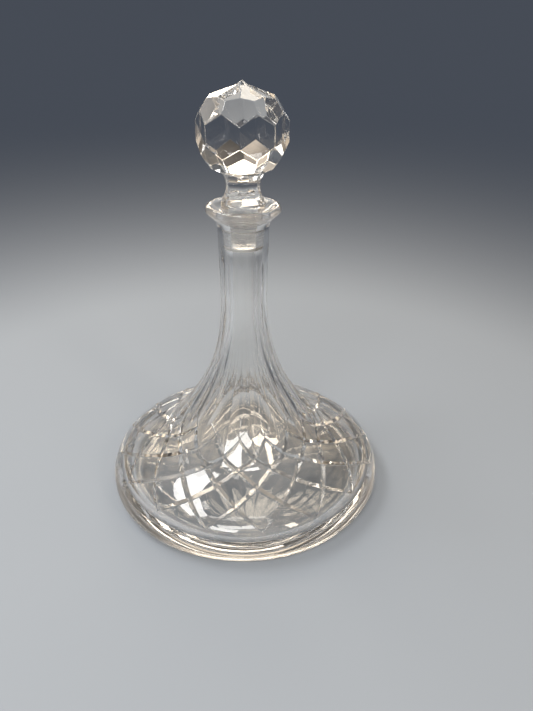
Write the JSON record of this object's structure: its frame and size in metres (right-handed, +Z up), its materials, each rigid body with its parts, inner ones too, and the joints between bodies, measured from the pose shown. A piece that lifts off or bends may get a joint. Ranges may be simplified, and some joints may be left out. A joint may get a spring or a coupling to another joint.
{
  "type": "wine decanter",
  "caption": "Broad-based ship's decanter in cut glass with a fluted tapering neck, a saucer lip and a ground-in faceted ball stopper that lifts out.",
  "frame": {"origin": "centre of the base, on the surface that the decanter stands on", "axes": "+Z up along the neck's axis; -Y is the front that faces the viewer, +X is to the viewer's right"},
  "size_m": [0.19, 0.19, 0.2686],
  "materials": {
    "bottle_glass": "polished clear lead crystal, cut with mitre lines and flutes",
    "stopper_glass": "polished clear lead crystal, with a ground frosted plug"
  },
  "bodies": {
    "decanter": {"decanter_body": "bottle_glass"},
    "stopper": {"stopper": "stopper_glass"}
  },
  "joints": [
    {"name": "stopper_lift", "type": "slide", "parent": "decanter", "child": "stopper", "axis": [0, 0, 1], "range_m": [0, 0.06]}
  ]
}
